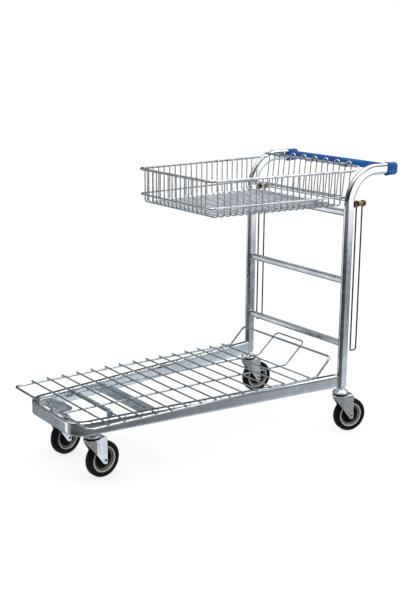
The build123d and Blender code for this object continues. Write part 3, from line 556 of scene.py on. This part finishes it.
def hub_profile():
    """Dished hub: long boss, thin web, curved dish and rim ring."""
    boss = [(16.5, 5.2), (16.5, 11.4), (16.0, 12.0), (12.0, 12.6), (7.0, 14.4)]
    web = [(4.6, 18.0), (4.0, 23.0), (4.3, 28.0)]
    dish = [(5.4, 33.0), (7.6, 37.0), (9.6, 39.0), (10.6, 39.6)]
    ring = [(10.6, 40.4), (12.0, 41.2), (12.5, 42.0), (12.5, 44.2), (12.0, 45.0)]
    return mirrored(boss + web + dish + ring)


def rivet_profile():
    """Tubular axle rivet: domed heads outside the fork's feet and a blind bore, painted dark as
    shade.
    """
    floor = FORK_FACE - RIVET_BORE_DEPTH
    top = FORK_FACE + RIVET_HEAD_HEIGHT
    bore = [(floor, RIVET_TIP_RADIUS), (floor, RIVET_BORE), (top - 0.6, RIVET_BORE),
            (top, RIVET_BORE + 0.6)]
    head = [(top, RIVET_HEAD_RADIUS - 1.4), (top - 0.6, RIVET_HEAD_RADIUS - 0.3),
            (FORK_FACE + 0.1, RIVET_HEAD_RADIUS), (FORK_FACE + 0.1, RIVET_SHANK_RADIUS)]
    return mirrored(bore + head)


def build_wheel(caster):
    """Tyre, hub and axle rivet of one caster."""
    matrix = wheel_matrix(caster)
    vertices, faces = spin(tyre_profile(), matrix, WHEEL_SEGMENTS)
    make_piece(f"{caster}_tyre_skin", vertices, faces, f"{caster}_wheel", "black_tyre",
               [f"{caster}_tyre"])
    vertices, faces = spin(hub_profile(), matrix, WHEEL_SEGMENTS)
    hub = make_piece(f"{caster}_hub_skin", vertices, faces, f"{caster}_wheel", "grey_hub",
                     [f"{caster}_hub"])
    # The hub's centre is painted near-black: painted shade round the axle.
    tint_by_radius(hub, matrix, [(HUB_RING_RADIUS, math.inf, "hub_ring"),
                                 (0.0, HUB_SHADE_RADIUS, "hub_centre_painted_shade")])
    vertices, faces = spin(rivet_profile(), matrix, RIVET_SEGMENTS)
    rivet = make_piece(f"{caster}_rivet", vertices, faces, f"{caster}_swivel", "zinc_pressing",
                       [f"{caster}_axle"])
    # The bore is painted near-black: painted shade down the hole.
    tint_by_radius(rivet, matrix, [(0.0, RIVET_BORE + 0.1, "painted_shade_steel")])


# ------------------------------------------------------------------ chassis tube, in mm

RAIL_HEIGHT = 47.0
RAIL_WIDTH = 26.0
RAIL_WALL = 2.0
RAIL_EDGE = 6.0
RAIL_EDGE_STEPS = 5
RAIL_FLAT_STEPS = (0.17, 0.33, 0.5, 0.67, 0.83)
RAIL_MID_Z = 197.5
RAIL_REAR_X = -396.0
RAIL_REAR_HALF = 261.0
RAIL_NOSE_X = 634.7
RAIL_NOSE_HALF = 150.4
NOSE_BEND_RADIUS = 50.0
NOSE_BEND_STEPS = 20
NOSE_CRUSH = 1.2


def bend(before, corner, after, radius, steps):
    """Stations round one corner: (point, heading, how far round the bend from 0 to 1)."""
    into = (corner - before).normalized()
    out = (after - corner).normalized()
    turn = math.acos(max(-1.0, min(1.0, into.dot(out))))
    sign = 1.0 if into.x * out.y - into.y * out.x > 0 else -1.0
    start = corner - into * radius * math.tan(turn / 2)
    centre = start + Vector((-into.y, into.x)) * sign * radius
    stations = []
    for i in range(steps + 1):
        rotation = Matrix.Rotation(sign * turn * i / steps, 2)
        stations.append((centre + rotation @ (start - centre), rotation @ into, i / steps))
    return stations


def rail_section(inset):
    """Rounded-rectangle section of the rail as (sideways, up), drawn in from the outside."""
    half_w = RAIL_WIDTH / 2 - inset
    half_h = RAIL_HEIGHT / 2 - inset
    edge = RAIL_EDGE - inset
    flat_ends = [(-(half_w - edge), half_h), (-half_w, -(half_h - edge)),
                 (half_w - edge, -half_h), (half_w, half_h - edge)]
    points = []
    for quarter, (sw, sh) in enumerate(((1, 1), (-1, 1), (-1, -1), (1, -1))):
        for i in range(RAIL_EDGE_STEPS + 1):
            angle = math.pi / 2 * (quarter + i / RAIL_EDGE_STEPS)
            points.append((sw * (half_w - edge) + edge * math.cos(angle),
                           sh * (half_h - edge) + edge * math.sin(angle)))
        start = points[-1]
        end = flat_ends[quarter]
        for t in RAIL_FLAT_STEPS:
            points.append((start[0] + (end[0] - start[0]) * t, start[1] + (end[1] - start[1]) * t))
    return points


def rail_stations():
    """Stations along the whole chassis tube, rear left to nose to rear right."""
    corners = [Vector((RAIL_REAR_X, RAIL_REAR_HALF)), Vector((RAIL_NOSE_X, RAIL_NOSE_HALF)),
               Vector((RAIL_NOSE_X, -RAIL_NOSE_HALF)), Vector((RAIL_REAR_X, -RAIL_REAR_HALF))]
    first = (corners[1] - corners[0]).normalized()
    last = (corners[3] - corners[2]).normalized()
    stations = [(corners[0], first, 0.0)]
    for i in (1, 2):
        stations += bend(corners[i - 1], corners[i], corners[i + 1], NOSE_BEND_RADIUS,
                         NOSE_BEND_STEPS)
    return stations + [(corners[3], last, 0.0)]


def rail_ring(station, inset):
    """One ring of the tube's surface; in a bend its outer side is pressed in a little."""
    point, heading, progress = station
    side = Vector((-heading.y, heading.x))
    pinch = NOSE_CRUSH * math.sin(math.pi * progress) ** 2
    ring = []
    for across, up in rail_section(inset):
        middle = 0.5 + 0.5 * math.cos(2 * math.pi * up / RAIL_HEIGHT)
        press = pinch * middle * max(0.0, across / (RAIL_WIDTH / 2 - inset))
        at = point + side * (across - press)
        ring.append((at.x * MM, at.y * MM, (RAIL_MID_Z + up) * MM))
    return ring


def build_chassis_tube():
    """The chassis tube with its wall, open at both ends against the uprights."""
    stations = rail_stations()
    outer, faces = skin([rail_ring(s, 0.0) for s in stations], False)
    inner, inner_faces = skin([rail_ring(s, RAIL_WALL) for s in stations], False)
    base = len(outer)
    faces += [tuple(base + v for v in reversed(face)) for face in inner_faces]
    count = len(rail_section(0.0))
    tail = base - count
    for k in range(count):
        after = (k + 1) % count
        faces.append((after, k, base + k, base + after))
        faces.append((tail + k, tail + after, base + tail + after, base + tail + k))
    make_piece("chassis_tube", outer + inner, faces, "chassis", "zinc_tube", ["base_frame"])


# ------------------------------------------------------------------ welds, in mm

BEAD_RADIUS = 1.7
BEAD_SIDES = 10
BEAD_RIPPLE_POINTS = 4
# Any direction that no bead runs along, to set each ring of a bead square to its run.
BEAD_TILT = Vector((0.31, 0.27, 0.91))

CROSSBARS = {"low": 338.0, "mid": 573.0, "top": 819.0}
BAR_HEIGHT = 25.0
BAR_DEPTH = 15.0
BAR_END_STEPS = 20
BAR_BEAD_LIFT = 0.4
UPRIGHT_X = -418.0
UPRIGHT_INNER_Y = 260.0
BEAD_SINK = 0.6

RAIL_BEAD_X = -397.4
RAIL_BEAD_Y = 274.2
RAIL_BEAD_FOOT_Z = 178.0
RAIL_BEAD_STEP = 1.2
RAIL_BEAD_POINTS = 34


def bead(name, points, closed):
    """Weld bead: a thin rippled roll of metal along a run of points."""
    rings = []
    count = len(points)
    for i, point in enumerate(points):
        before = Vector(points[i - 1] if closed or i else points[0])
        after = Vector(points[(i + 1) % count] if closed or i + 1 < count else points[-1])
        heading = (after - before).normalized()
        side = heading.cross(BEAD_TILT).normalized()
        up = heading.cross(side)
        radius = BEAD_RADIUS * (0.82 + 0.3 * abs(math.sin(math.pi * i / BEAD_RIPPLE_POINTS)))
        if not closed and i in (0, count - 1):
            radius *= 0.3
        rings.append([
            (Vector(point) + (side * math.cos(a) + up * math.sin(a)) * radius) * MM
            for a in [2 * math.pi * k / BEAD_SIDES for k in range(BEAD_SIDES)]
        ])
    vertices, faces = skin(rings, closed)
    if not closed:
        last = len(vertices) - BEAD_SIDES
        faces.append(tuple(reversed(range(BEAD_SIDES))))
        faces.append(tuple(range(last, last + BEAD_SIDES)))
    make_piece(name, vertices, faces, "chassis", "zinc_pressing")


def bar_outline(height, y):
    """Points round a crossbar's section, a little outside its surface."""
    radius = BAR_DEPTH / 2 + BAR_BEAD_LIFT
    reach = (BAR_HEIGHT - BAR_DEPTH) / 2
    points = []
    for end in (1, -1):
        for i in range(BAR_END_STEPS):
            angle = math.pi * i / BAR_END_STEPS + (0 if end > 0 else math.pi)
            points.append((UPRIGHT_X + radius * math.cos(angle), y,
                           height + end * reach + radius * math.sin(angle)))
    return points


def build_welds():
    """Beads round both ends of each crossbar and up the joints of rails and uprights."""
    for name, height in CROSSBARS.items():
        for side, label in ((1, "left"), (-1, "right")):
            y = side * (UPRIGHT_INNER_Y - BEAD_SINK)
            bead(f"{name}_bar_{label}_weld", bar_outline(height, y), True)
    for side, label in ((1, "left"), (-1, "right")):
        run = [(RAIL_BEAD_X, side * RAIL_BEAD_Y, RAIL_BEAD_FOOT_Z + i * RAIL_BEAD_STEP)
               for i in range(RAIL_BEAD_POINTS)]
        bead(f"rail_{label}_weld", run, False)


# ------------------------------------------------------------------ the whole model

build_studio()
paint_cad()
for caster_name in CASTERS:
    build_wheel(caster_name)
build_chassis_tube()
build_welds()
